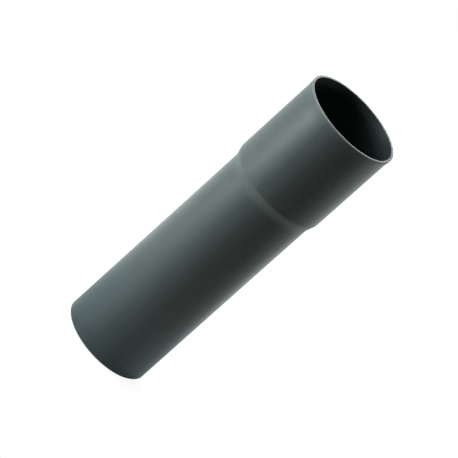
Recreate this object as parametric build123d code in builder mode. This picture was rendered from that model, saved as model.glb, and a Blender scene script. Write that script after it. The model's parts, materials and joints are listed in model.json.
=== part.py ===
from build123d import *
import os
from math import radians, tan

# A short length of 110 mm plastic drain pipe, extruded in one piece, with a plain socket belled out of
# its upper end. Millimetres. The pipe stands on its plain end, at the origin: Z runs up its middle.

# Pipe
pipe_diameter = 110.0        # outside
pipe_wall = 3.2
overall_length = 385.0       # plain end to mouth
plain_end_chamfer = 1.2      # outer edge broken after sawing, so that it enters a socket
bore_edge_chamfer = 0.5      # inner edge of the sawn end, only deburred

# Socket
socket_depth = 112.0         # mouth down to the top of the shoulder
socket_clearance = 0.5       # on the radius, round the pipe that it takes
socket_wall = 2.9            # stretched a little thinner as it was belled
shoulder_slope = 17.5        # degrees from the pipe's axis
shoulder_foot_radius = 20.0  # outside, where the plain pipe starts to widen
shoulder_top_radius = 10.0   # outside, where the shoulder runs into the socket

# Mouth
mouth_flare = 0.7            # on the radius, the lead-in that guides the next pipe
mouth_flare_length = 9.0
mouth_blend_radius = 40.0
rim_round = 0.5

# Radii of the four walls
pipe_outer_radius = pipe_diameter / 2
pipe_bore_radius = pipe_outer_radius - pipe_wall
socket_bore_radius = pipe_outer_radius + socket_clearance
socket_outer_radius = socket_bore_radius + socket_wall

# Heights of the shoulder's corners. The inner cone runs beside the outer one, a wall's thickness away,
# so its corners lie on the lines that halve the outer corners.
half_slope = radians(shoulder_slope) / 2
shoulder_top = overall_length - socket_depth
shoulder_foot = shoulder_top - (socket_outer_radius - pipe_outer_radius) / tan(2 * half_slope)
inner_shoulder_foot = shoulder_foot + pipe_wall * tan(half_slope)
inner_shoulder_top = inner_shoulder_foot + (socket_bore_radius - pipe_bore_radius) / tan(2 * half_slope)
flare_start = overall_length - mouth_flare_length

# The pipe: one wall, turned about its axis, with both shoulders and the flare as straight cones blended by arcs
with BuildPart() as drain_pipe:
    with BuildSketch(Plane.XZ):
        with BuildLine():
            outer_wall = FilletPolyline(
                (pipe_outer_radius, 0),
                (pipe_outer_radius, shoulder_foot),
                (socket_outer_radius, shoulder_top),
                (socket_outer_radius, flare_start),
                (socket_outer_radius + mouth_flare, overall_length),
                radius=[shoulder_foot_radius, shoulder_top_radius, mouth_blend_radius],
            )
            inner_wall = FilletPolyline(
                (pipe_bore_radius, 0),
                (pipe_bore_radius, inner_shoulder_foot),
                (socket_bore_radius, inner_shoulder_top),
                (socket_bore_radius, flare_start),
                (socket_bore_radius + mouth_flare, overall_length),
                radius=[
                    shoulder_foot_radius + pipe_wall,
                    shoulder_top_radius - socket_wall,
                    mouth_blend_radius + socket_wall,
                ],
            )
            Line(outer_wall @ 1, inner_wall @ 1)
            Line(outer_wall @ 0, inner_wall @ 0)
        make_face()
    revolve(axis=Axis.Z)

    # Plain end: the outer edge gets a lead-in, the inner one is deburred
    sawn_edges = drain_pipe.edges().group_by(Axis.Z)[0].sort_by(SortBy.RADIUS)
    chamfer(sawn_edges[-1], plain_end_chamfer)
    chamfer(sawn_edges[0], bore_edge_chamfer)

    # Mouth: both edges of the rim are rounded
    rim_edges = drain_pipe.edges().group_by(Axis.Z)[-1]
    fillet(rim_edges, rim_round)

drain_pipe.part.label = "drain_pipe"

os.makedirs("parts", exist_ok=True)
export_step(drain_pipe.part, "parts/drain_pipe.step")
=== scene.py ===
import json
import math

import bpy
import numpy as np
from mathutils import Matrix, Vector


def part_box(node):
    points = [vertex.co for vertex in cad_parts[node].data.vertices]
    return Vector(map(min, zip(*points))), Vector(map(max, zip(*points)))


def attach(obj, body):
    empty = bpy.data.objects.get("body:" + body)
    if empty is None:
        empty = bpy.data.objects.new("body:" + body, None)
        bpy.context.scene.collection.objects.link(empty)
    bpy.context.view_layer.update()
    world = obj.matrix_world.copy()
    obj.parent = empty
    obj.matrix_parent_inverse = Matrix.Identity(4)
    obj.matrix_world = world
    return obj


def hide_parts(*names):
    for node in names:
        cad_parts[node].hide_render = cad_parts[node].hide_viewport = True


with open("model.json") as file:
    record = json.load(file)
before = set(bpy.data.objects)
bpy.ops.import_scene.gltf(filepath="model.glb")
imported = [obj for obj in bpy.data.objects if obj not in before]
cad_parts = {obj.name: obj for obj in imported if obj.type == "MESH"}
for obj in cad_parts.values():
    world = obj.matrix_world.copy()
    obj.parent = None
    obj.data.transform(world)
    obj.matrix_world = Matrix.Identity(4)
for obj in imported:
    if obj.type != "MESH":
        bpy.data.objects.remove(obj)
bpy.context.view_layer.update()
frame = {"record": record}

# Lengths are in metres. The pipe stands on its plain end at the origin, and Z runs up its middle.

MM = 0.001
mounts = {mount["name"]: mount for mount in frame["record"]["mounts"]}
pipe_low, pipe_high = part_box("drain_pipe")

# Sizes that the frame gives, with both bores as radii
OVERALL_LENGTH = pipe_high.z - pipe_low.z
PIPE_RADIUS = mounts["spigot"]["dims"]["r_mm"] * MM
PIPE_BORE = mounts["waterway"]["dims"]["r_mm"] * MM
SOCKET_BORE = mounts["socket"]["dims"]["r_mm"] * MM
PIPE_WALL = PIPE_RADIUS - PIPE_BORE

# The rest of the pipe's section
SOCKET_WALL = 2.9 * MM
SOCKET_DEPTH = 112.0 * MM
SHOULDER_TOP = OVERALL_LENGTH - SOCKET_DEPTH
SHOULDER_SLOPE = math.radians(17.5)
SHOULDER_FOOT_RADIUS = 20.0 * MM
SHOULDER_TOP_RADIUS = 10.0 * MM
MOUTH_FLARE = 0.7 * MM
MOUTH_FLARE_LENGTH = 9.0 * MM
MOUTH_BLEND_RADIUS = 40.0 * MM
RIM_ROUND = 0.5 * MM
PLAIN_END_CHAMFER = 1.2 * MM
BORE_EDGE_CHAMFER = 0.5 * MM
SAWN_EDGE_ROUND = 0.12 * MM

# Fineness of the turned surface
FACES_AROUND = 320
POINTS_PER_ARC = 7
RUN_STEP = 4.0 * MM                         # between points on a straight run
EDGE_SUPPORT = 0.35 * MM                    # from an arc to the first point on the run beside it
SHORTEST_SUPPORTED_RUN = 4 * EDGE_SUPPORT
SAME_PLACE_DIGITS = 9                       # places that agree to a nanometre are one place


def rounded_outline(corners, radii, points_per_arc):
    """A closed outline whose corners are arcs. Each arc touches both sides of its corner: its centre lies on
    the line that halves the corner, radius / sin(half the angle between the sides) away, and its points are
    at equal angles from one touching point to the other."""
    before = np.roll(corners, 1, axis=0) - corners
    after = np.roll(corners, -1, axis=0) - corners
    before /= np.linalg.norm(before, axis=1)[:, None]
    after /= np.linalg.norm(after, axis=1)[:, None]
    half = np.arccos(np.clip((before * after).sum(axis=1), -1, 1)) / 2
    halving = before + after
    halving /= np.linalg.norm(halving, axis=1)[:, None]
    centres = corners + halving * (radii / np.sin(half))[:, None]
    reach = (radii / np.tan(half))[:, None]
    first = corners + before * reach - centres
    last = corners + after * reach - centres
    start = np.arctan2(first[:, 1], first[:, 0])
    sweep = np.arctan2(last[:, 1], last[:, 0]) - start
    sweep = (sweep + np.pi) % (2 * np.pi) - np.pi
    angle = start[:, None] + sweep[:, None] * np.linspace(0, 1, points_per_arc)[None, :]
    arcs = centres[:, None, :] + radii[:, None, None] * np.stack([np.cos(angle), np.sin(angle)], axis=2)
    return arcs.reshape(-1, 2)


def with_even_runs(outline, points_per_arc):
    """The same closed outline with points added on its straight runs: one every RUN_STEP, and one close to
    each arc, so that the shading of a run stays flat up to where its arc begins. Places are measured along
    the outline, and the added points are read off it by straight interpolation."""
    closed = np.vstack([outline, outline[:1]])
    lengths = np.linalg.norm(np.diff(closed, axis=0), axis=1)
    along = np.concatenate([[0.0], np.cumsum(lengths)])
    arc_ends = np.arange(points_per_arc - 1, len(outline), points_per_arc)
    starts, ends = along[arc_ends], along[arc_ends + 1]
    supported = ends - starts > SHORTEST_SUPPORTED_RUN
    supports = np.concatenate([starts[supported] + EDGE_SUPPORT, ends[supported] - EDGE_SUPPORT])
    counts = np.maximum(np.round((ends - starts) / RUN_STEP).astype(int), 1)
    shares = np.concatenate([np.arange(1, count) / count for count in counts])
    evens = np.repeat(starts, counts - 1) + np.repeat(ends - starts, counts - 1) * shares
    places = np.unique(np.concatenate([along[:-1], supports, evens]).round(SAME_PLACE_DIGITS))
    return np.column_stack([np.interp(places, along, closed[:, 0]), np.interp(places, along, closed[:, 1])])


def pipe_outline():
    """The pipe's wall as a closed outline of (radius, height): up the outside, over the rim, down the inside
    and back across the sawn end. The shoulder is a cone between two parallel walls, outside and inside."""
    tangent = math.tan(SHOULDER_SLOPE)
    half_tangent = math.tan(SHOULDER_SLOPE / 2)
    socket_outside = SOCKET_BORE + SOCKET_WALL
    shoulder_foot = SHOULDER_TOP - (socket_outside - PIPE_RADIUS) / tangent
    inner_foot = shoulder_foot + PIPE_WALL * half_tangent
    inner_top = inner_foot + (SOCKET_BORE - PIPE_BORE) / tangent
    flare_start = OVERALL_LENGTH - MOUTH_FLARE_LENGTH
    corners_and_radii = np.array([
        (PIPE_RADIUS - PLAIN_END_CHAMFER, 0.0, SAWN_EDGE_ROUND),
        (PIPE_RADIUS, PLAIN_END_CHAMFER, SAWN_EDGE_ROUND),
        (PIPE_RADIUS, shoulder_foot, SHOULDER_FOOT_RADIUS),
        (socket_outside, SHOULDER_TOP, SHOULDER_TOP_RADIUS),
        (socket_outside, flare_start, MOUTH_BLEND_RADIUS),
        (socket_outside + MOUTH_FLARE, OVERALL_LENGTH, RIM_ROUND),
        (SOCKET_BORE + MOUTH_FLARE, OVERALL_LENGTH, RIM_ROUND),
        (SOCKET_BORE, flare_start, MOUTH_BLEND_RADIUS + SOCKET_WALL),
        (SOCKET_BORE, inner_top, SHOULDER_TOP_RADIUS - SOCKET_WALL),
        (PIPE_BORE, inner_foot, SHOULDER_FOOT_RADIUS + PIPE_WALL),
        (PIPE_BORE, BORE_EDGE_CHAMFER, SAWN_EDGE_ROUND),
        (PIPE_BORE + BORE_EDGE_CHAMFER, 0.0, SAWN_EDGE_ROUND),
    ])
    arcs = rounded_outline(corners_and_radii[:, :2], corners_and_radii[:, 2], POINTS_PER_ARC)
    return with_even_runs(arcs, POINTS_PER_ARC)


def turned(outline, angle):
    """A grid of points: each (radius, height) of an outline turned about Z to each angle,
    x = radius * cos(angle), y = radius * sin(angle), z = height."""
    radius, height = outline[:, 0, None], outline[:, 1, None]
    return np.stack([radius * np.cos(angle), radius * np.sin(angle), height + 0 * angle], axis=2)


def grid_object(name, points, closed):
    """An object with a face for every four neighbouring points of a grid. Where closed is true, the last row
    and column of the grid join the first ones, so the mesh has no seam or edge."""
    rows, columns = points.shape[:2]
    i, j = np.meshgrid(np.arange(rows - (not closed)), np.arange(columns - (not closed)), indexing="ij")
    next_i, next_j = (i + 1) % rows, (j + 1) % columns
    near_side = [i * columns + j, i * columns + next_j]
    far_side = [next_i * columns + next_j, next_i * columns + j]
    quads = np.stack(near_side + far_side, axis=2).reshape(-1, 4)
    mesh = bpy.data.meshes.new(name)
    mesh.vertices.add(rows * columns)
    mesh.vertices.foreach_set("co", points.ravel())
    mesh.loops.add(quads.size)
    mesh.loops.foreach_set("vertex_index", quads.ravel())
    mesh.polygons.add(len(quads))
    mesh.polygons.foreach_set("loop_start", np.arange(0, quads.size, 4))
    mesh.update(calc_edges=True)
    mesh.polygons.foreach_set("use_smooth", np.ones(len(quads), dtype=bool))
    mesh.validate()
    made = bpy.data.objects.new(name, mesh)
    bpy.context.scene.collection.objects.link(made)
    return made


class Field:
    """A socket whose value varies over a surface. Arithmetic between fields and numbers adds Math nodes."""

    def __init__(self, socket):
        self.socket = socket

    def node(self, kind, settings=None, inputs=None, output=0):
        """A new node in the same material: its settings are set first, then each input gets its number,
        colour or field. Returns the output asked for."""
        made = self.socket.id_data.nodes.new(kind)
        for name, value in (settings or {}).items():
            setattr(made, name, value)
        for key, value in (inputs or {}).items():
            if isinstance(value, Field):
                self.socket.id_data.links.new(value.socket, made.inputs[key])
            else:
                made.inputs[key].default_value = value
        return Field(made.outputs[output])

    def math(self, operation, first, second):
        """Two fields or numbers through a Math node."""
        return self.node("ShaderNodeMath", {"operation": operation}, {0: first, 1: second})

    def __add__(self, other):
        return self.math("ADD", self, other)

    __radd__ = __add__

    def __sub__(self, other):
        return self.math("SUBTRACT", self, other)

    def __rsub__(self, other):
        return self.math("SUBTRACT", other, self)

    def __mul__(self, other):
        return self.math("MULTIPLY", self, other)

    __rmul__ = __mul__

    def larger(self, other):
        """The larger of two fields."""
        return self.math("MAXIMUM", self, other)

    def fade(self, low, high):
        """0 below low, 1 above high, and a smooth S between them."""
        return self.node("ShaderNodeMapRange", {"interpolation_type": "SMOOTHSTEP"},
                         {"Value": self, "From Min": low, "From Max": high, "To Min": 0.0, "To Max": 1.0})

    def colour_between(self, low, high):
        """The first colour where this field is 0 and the second where it is 1."""
        return self.node("ShaderNodeMix", {"data_type": "RGBA"}, {0: self, 6: low, 7: high}, output=2)

    def vector_math(self, operation, other=(0.0, 0.0, 0.0), output="Vector"):
        """This vector and another through a Vector Math node, whose output for a number is Value."""
        return self.node("ShaderNodeVectorMath", {"operation": operation}, {0: self, 1: other}, output)

    def flat(self):
        """This place brought down to the floor: x and y stay, and z becomes 0."""
        return self.vector_math("MULTIPLY", (1.0, 1.0, 0.0))


def new_material(name):
    """An empty material, its output node, and a field for places on the object, in metres."""
    material = bpy.data.materials.new(name)
    material.use_nodes = True
    material.node_tree.nodes.clear()
    output = material.node_tree.nodes.new("ShaderNodeOutputMaterial")
    coordinates = material.node_tree.nodes.new("ShaderNodeTexCoord")
    return material, output, Field(coordinates.outputs["Object"])


def noise(place, scale, detail, roughness):
    """Cloudy noise from 0 to 1 at a place, with its middle at 0.5. Its clouds are about 1 / scale wide, and
    each step of detail adds clouds of half that width, with roughness as their share."""
    return place.node("ShaderNodeTexNoise", inputs={
        "Vector": place, "Scale": scale, "Detail": detail, "Roughness": roughness})


def colour(red, green, blue):
    """An opaque colour from the three shares of light that it sends back."""
    return (red, green, blue, 1.0)


# Finish of the plastic
IRON_GREY = colour(0.053, 0.072, 0.077)
IRON_GREY_WORN = colour(0.067, 0.088, 0.093)
# Paler grey of the band at the shoulder and outside the flare: painted light, standing in for bounce light
# from the floor and for the highlight at the rim
PAINTED_LIGHT_GREY = colour(0.096, 0.123, 0.117)
SAWN_GREY = colour(0.25, 0.285, 0.303)
SKIN_ROUGHNESS = 0.36
PAINTED_BAND_ROUGHNESS = 0.50
SAWN_ROUGHNESS = 0.62
STREAK_ROUGHNESS = 0.10          # what the broad streaks add, from one end of their noise to the other
GRAIN_ROUGHNESS = 0.05           # and what the grain adds
SHADE_RANGE = (0.38, 0.62)       # mixed noise at which the grey is plain, and at which it is worn
DRAWN_RATE = 0.8                 # of the drawn lines, per metre up the pipe; a radian round it counts as 1
BUMP_STRENGTH = 0.35
BUMP_DISTANCE = 0.02 * MM
PVC_IOR = 1.53

# Where the finish changes: the radii or heights where a change starts and where it is full
RIM_MIDDLE = SOCKET_BORE + MOUTH_FLARE + SOCKET_WALL / 2
RIM_OUTSIDE = (RIM_MIDDLE - 0.3 * MM, RIM_MIDDLE + 0.3 * MM)
RIM_FACE = (OVERALL_LENGTH - 0.35 * MM, OVERALL_LENGTH - 0.12 * MM)
# Heights over which the sawn grey also runs down the outside, just below the rim
PALE_EDGE_BELOW_RIM = (OVERALL_LENGTH - 1.25 * MM, OVERALL_LENGTH - 0.75 * MM)
SAWN_END_TO_SKIN = (0.9 * MM, 1.3 * MM)
# The band of painted light at the shoulder, and its faint share outside the mouth's flare
PAINTED_BAND_BEGINS = (SHOULDER_TOP - 17 * MM, SHOULDER_TOP - 8 * MM)
PAINTED_BAND_ENDS = (SHOULDER_TOP - 3 * MM, SHOULDER_TOP + 2 * MM)
FLARE_PAINTED_BAND = (OVERALL_LENGTH - MOUTH_FLARE_LENGTH, OVERALL_LENGTH - 3 * MM)
FLARE_PAINTED_BAND_SHARE = 0.2        # of the painted light at the shoulder


def satin_grey_pvc():
    """Extruded PVC in iron grey. Lengthwise lines come from noise that is fine around the pipe and very long
    up it: the place is divided by its distance from the axis, so the lines close round the pipe, and a small
    share of the height is added. The shade is a mix of four noises, whose shares add up to 1. The plastic is
    paler and more matt in a band at the shoulder and faintly outside the mouth's flare. The paler colour
    there
    is painted light: at the shoulder it stands in for light bounced up from the floor, and at the flare for
    the highlight running on to the rim. The sawn ends are paler still, and rougher."""
    pvc, output, place = new_material("satin_grey_pvc")
    height = place.node("ShaderNodeSeparateXYZ", inputs={0: place}, output="Z")
    flat_place = place.flat()
    radius = flat_place.vector_math("LENGTH", output="Value")
    round_place = flat_place.vector_math("NORMALIZE")
    lift = place.node("ShaderNodeCombineXYZ", inputs={"Z": height * DRAWN_RATE})
    drawn_place = round_place.vector_math("ADD", lift)

    die_lines = noise(drawn_place, scale=42.0, detail=4.0, roughness=0.6)
    broad_streaks = noise(drawn_place, scale=7.0, detail=2.0, roughness=0.5)
    mottle = noise(place, scale=22.0, detail=3.0, roughness=0.55)
    skin_grain = noise(place, scale=1400.0, detail=2.0, roughness=0.6)
    speckle = noise(place, scale=500.0, detail=2.0, roughness=0.7)
    saw_marks = place.node("ShaderNodeTexWave", {"wave_type": "BANDS", "bands_direction": "X"}, {
        "Vector": place, "Scale": 260.0, "Distortion": 2.5, "Detail": 2.0, "Detail Scale": 1.5})

    outside = radius.fade(*RIM_OUTSIDE)
    # The sawn grey also runs a little way down the outside, just below the rim
    pale_edge_below_rim = outside * height.fade(*PALE_EDGE_BELOW_RIM)
    sawn = height.fade(*RIM_FACE).larger(pale_edge_below_rim) + (1.0 - height.fade(*SAWN_END_TO_SKIN))
    # Painted light: a paler band at the shoulder and faintly outside the flare, which is also made more matt
    painted_light_band = (height.fade(*PAINTED_BAND_BEGINS) * (1.0 - height.fade(*PAINTED_BAND_ENDS))
                 + FLARE_PAINTED_BAND_SHARE * outside * height.fade(*FLARE_PAINTED_BAND))

    shade = mottle * 0.25 + broad_streaks * 0.2 + die_lines * 0.15 + speckle * 0.4
    skin = shade.fade(*SHADE_RANGE).colour_between(IRON_GREY, IRON_GREY_WORN)
    base = sawn.colour_between(painted_light_band.colour_between(skin, PAINTED_LIGHT_GREY), SAWN_GREY)
    roughness = (SKIN_ROUGHNESS
                 + (broad_streaks - 0.5) * STREAK_ROUGHNESS
                 + (skin_grain - 0.5) * GRAIN_ROUGHNESS
                 + painted_light_band * (PAINTED_BAND_ROUGHNESS - SKIN_ROUGHNESS)
                 + sawn * (SAWN_ROUGHNESS - SKIN_ROUGHNESS))
    relief = die_lines * 0.5 + skin_grain * 0.25 + sawn * saw_marks * 0.12
    normal = place.node("ShaderNodeBump", inputs={
        "Strength": BUMP_STRENGTH, "Distance": BUMP_DISTANCE, "Height": relief})

    plastic = place.node("ShaderNodeBsdfPrincipled", inputs={
        "Base Color": base, "Roughness": roughness, "IOR": PVC_IOR, "Normal": normal})
    pvc.node_tree.links.new(plastic.socket, output.inputs["Surface"])
    return pvc


def make_pipe():
    """The wall's outline turned to FACES_AROUND equal angles, as one closed surface."""
    angle = 2 * np.pi * np.arange(FACES_AROUND) / FACES_AROUND
    pipe = grid_object("grey_pipe", turned(pipe_outline(), angle), closed=True)
    pipe.data.materials.append(satin_grey_pvc())
    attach(pipe, "root")
    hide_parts("drain_pipe")


# The camera looks down on the standing pipe through a long lens, and is rolled, as the picture is
CAMERA_ELEVATION = math.radians(23.37)
CAMERA_ROLL = math.radians(48.085)
CAMERA_DISTANCE = 4.4228
CAMERA_LENS_MM = 324.64
CAMERA_SENSOR_MM = 36.0
CAMERA_CLIP = (0.1, 100.0)
CAMERA_AIM = Vector((-0.00121, 0.0, 0.19473))


def make_camera():
    """Looks along +Y and down by the elevation, then turned about its own axis by the roll."""
    data = bpy.data.cameras.new("camera")
    data.sensor_width = CAMERA_SENSOR_MM
    data.lens = CAMERA_LENS_MM
    data.clip_start, data.clip_end = CAMERA_CLIP
    camera = bpy.data.objects.new("camera", data)
    bpy.context.scene.collection.objects.link(camera)
    forward = Vector((0, math.cos(CAMERA_ELEVATION), -math.sin(CAMERA_ELEVATION)))
    level = forward.to_track_quat("-Z", "Y").to_matrix()
    rolled = level @ Matrix.Rotation(CAMERA_ROLL, 3, "Z")
    camera.matrix_world = Matrix.Translation(CAMERA_AIM - forward * CAMERA_DISTANCE) @ rolled.to_4x4()
    bpy.context.scene.camera = camera


def direction(azimuth, elevation):
    """Unit vector away from the pipe, from two angles in degrees. Azimuth 0 is towards the camera, 90 is +X,
    and elevation is above level."""
    a, e = math.radians(azimuth), math.radians(elevation)
    return Vector((math.sin(a) * math.cos(e), -math.cos(a) * math.cos(e), math.sin(e)))


LAMP_TINT = (0.94, 1.0, 0.99)


def softbox(name, azimuth, elevation, distance, width, height, watts):
    """A rectangular lamp that faces the middle of the pipe and isn't seen by the camera. It stands at the
    distance from that middle, in the direction of the two angles."""
    data = bpy.data.lights.new(name, "AREA")
    data.shape = "RECTANGLE"
    data.size, data.size_y = width, height
    data.energy = watts
    data.color = LAMP_TINT
    lamp = bpy.data.objects.new(name, data)
    bpy.context.scene.collection.objects.link(lamp)
    away = direction(azimuth, elevation)
    middle = Vector((0, 0, OVERALL_LENGTH / 2))
    facing_it = away.to_track_quat("Z", "Y").to_matrix().to_4x4()
    lamp.matrix_world = Matrix.Translation(middle + away * distance) @ facing_it
    lamp.visible_camera = False


def make_lamps():
    """The main softbox is low on the left, with two small ones closer in. One behind, above the mouth,
    lights the rim, and one far off on the right only draws the right edge."""
    softbox("left_softbox", azimuth=-65, elevation=8, distance=1.6, width=0.6, height=0.6, watts=15.9)
    softbox("low_left_softbox", azimuth=-60, elevation=2, distance=0.7, width=0.46, height=0.3, watts=0.87)
    softbox("high_left_softbox", azimuth=-80, elevation=30, distance=0.7, width=0.3, height=0.3, watts=0.62)
    softbox("rim_softbox", azimuth=-175, elevation=30, distance=0.7, width=0.3, height=0.3, watts=3.2)
    softbox("right_softbox", azimuth=100, elevation=8, distance=1.6, width=0.6, height=0.6, watts=4.3)


# Colours of the studio, as the pipe's gloss shows them
WHITE = colour(1.0, 1.0, 1.0)
BLACK = colour(0.0, 0.0, 0.0)
FAR_WHITE = colour(0.850, 0.96, 0.91)
NEAR_COOL_WHITE = colour(0.62, 0.96, 1.0)     # of the floor close to the pipe
DARK_CLOTH = colour(0.088, 0.048, 0.0)

# The studio's dark side
DARK_AZIMUTH = 39.0           # degrees, where it is darkest
DARK_EDGE = -0.54             # cosine of the angle from there, where it starts
DARK_FULL = 0.90              # and where it is as dark as it gets


def side_darkness(place):
    """How dark the studio is on the side that a place is on, by the cosine of its angle from DARK_AZIMUTH:
    0 beyond DARK_EDGE, 1 within DARK_FULL, and a smooth S between them."""
    towards = place.flat().vector_math("NORMALIZE")
    nearness = towards.vector_math("DOT_PRODUCT", direction(DARK_AZIMUTH, 0), output="Value")
    return nearness.fade(DARK_EDGE, DARK_FULL)


SCREEN_RADIUS = 6.0
SCREEN_TOP = 89.5             # degrees above level
SCREEN_ROWS = 24
SCREEN_COLUMNS = 60


def make_dark_screen():
    """The upper part of the dark side: a part of a dome, turned about Z, that only reflections see. It is
    dark in its middle and fades to the white of the background at its sides."""
    rise = np.radians(np.linspace(0, SCREEN_TOP, SCREEN_ROWS))
    profile = SCREEN_RADIUS * np.column_stack([np.cos(rise), np.sin(rise)])
    half_width = math.degrees(math.acos(DARK_EDGE))
    azimuth = np.linspace(DARK_AZIMUTH - half_width, DARK_AZIMUTH + half_width, SCREEN_COLUMNS)
    angle_from_x = np.radians(azimuth - 90)
    screen = grid_object("dark_screen", turned(profile, angle_from_x), closed=False)
    cloth, output, place = new_material("dark_cloth")
    glow = place.node("ShaderNodeEmission", inputs={
        "Color": side_darkness(place).colour_between(FAR_WHITE, DARK_CLOTH)})
    cloth.node_tree.links.new(glow.socket, output.inputs["Surface"])
    screen.data.materials.append(cloth)
    screen.visible_camera = screen.visible_diffuse = screen.visible_shadow = False


def rays(place):
    """Two fields: 1 for rays from the camera, and 1 for those that a mirror or glass sends on."""
    path = place.node("ShaderNodeLightPath")
    camera, glossy, transmission = (Field(path.socket.node.outputs[name]) for name in (
        "Is Camera Ray", "Is Glossy Ray", "Is Transmission Ray"))
    return camera, glossy.larger(transmission)


FLOOR_SIZE = 30.0
FLOOR_COLOUR = 0.8            # of the plain pale floor
FLOOR_SHADOW = 0.25           # the same as the camera sees it, which sets how deep the pipe's shadow is
LIT_SHARE = 0.08              # left out of the floor's own white beside the pipe, where the lamps light it
NEAR_WHITE = 0.285            # white that the pipe's gloss finds in the floor right beside it, darkened there by painted shade
NEAR_DARK = 0.46              # share of the dark side that it finds there

# Distances along the floor from the pipe's middle, where a change starts and where it is full
LIT_REACH = (0.25, 1.1)       # from the lamps' light to the floor's own white
WHITE_REACH = (0.05, 0.397)   # from NEAR_WHITE to white
AWAY_REACH = (0.1, 0.32)      # from the near colour and darkness to those of the studio


def make_floor():
    """A pale level floor. The camera sees it white, by its own light and a little of the lamps', so that the
    pipe's shadow shows faintly. In reflections it is darker on the studio's dark side, and beside the pipe
    it is darkened by painted shade. Other rays meet it as a plain pale floor."""
    half = FLOOR_SIZE / 2
    corners = [(-half, -half, 0), (half, -half, 0), (half, half, 0), (-half, half, 0)]
    mesh = bpy.data.meshes.new("floor")
    mesh.from_pydata(corners, [], [(0, 1, 2, 3)])
    floor = bpy.data.objects.new("floor", mesh)
    bpy.context.scene.collection.objects.link(floor)
    pale_floor, output, place = new_material("pale_floor")
    camera, reflected = rays(place)
    distance = place.vector_math("LENGTH", output="Value")
    seen_white = 1.0 - LIT_SHARE * (1.0 - distance.fade(*LIT_REACH))
    # Painted shade: in reflections the floor beside the pipe is darkened, from NEAR_WHITE up to white, and
    # blacker on the dark side
    white_left = NEAR_WHITE + (1.0 - NEAR_WHITE) * distance.fade(*WHITE_REACH)
    away = distance.fade(*AWAY_REACH)
    darkness = side_darkness(place)
    near_darkness = NEAR_DARK * darkness * (1.0 - away)
    reflected_white = white_left * (1.0 - darkness * (near_darkness + away))
    reflected_colour = reflected_white.colour_between(
        away.colour_between(BLACK, DARK_CLOTH), away.colour_between(NEAR_COOL_WHITE, FAR_WHITE))
    paleness = FLOOR_COLOUR - camera * (FLOOR_COLOUR - FLOOR_SHADOW)
    matte = place.node("ShaderNodeBsdfDiffuse", inputs={"Color": paleness.colour_between(BLACK, WHITE)})
    glow = place.node("ShaderNodeEmission", inputs={
        "Color": reflected.colour_between(WHITE, reflected_colour),
        "Strength": camera * seen_white + reflected})
    both = place.node("ShaderNodeAddShader", inputs={0: matte, 1: glow})
    pale_floor.node_tree.links.new(both.socket, output.inputs["Surface"])
    mesh.materials.append(pale_floor)


WORLD_FILL = 0.004


def make_world():
    """White for the camera and for reflections. All other rays get WORLD_FILL of it, as a faint fill."""
    world = bpy.data.worlds.new("studio")
    world.use_nodes = True
    world.node_tree.nodes.clear()
    output = world.node_tree.nodes.new("ShaderNodeOutputWorld")
    background = world.node_tree.nodes.new("ShaderNodeBackground")
    camera, reflected = rays(Field(background.outputs[0]))
    strength = WORLD_FILL + (1.0 - WORLD_FILL) * (camera + reflected)
    white = reflected.colour_between(WHITE, FAR_WHITE)
    world.node_tree.links.new(strength.socket, background.inputs["Strength"])
    world.node_tree.links.new(white.socket, background.inputs["Color"])
    world.node_tree.links.new(background.outputs[0], output.inputs["Surface"])
    bpy.context.scene.world = world


make_pipe()
make_camera()
make_lamps()
make_dark_screen()
make_floor()
make_world()
bpy.context.scene.view_settings.view_transform = "Standard"
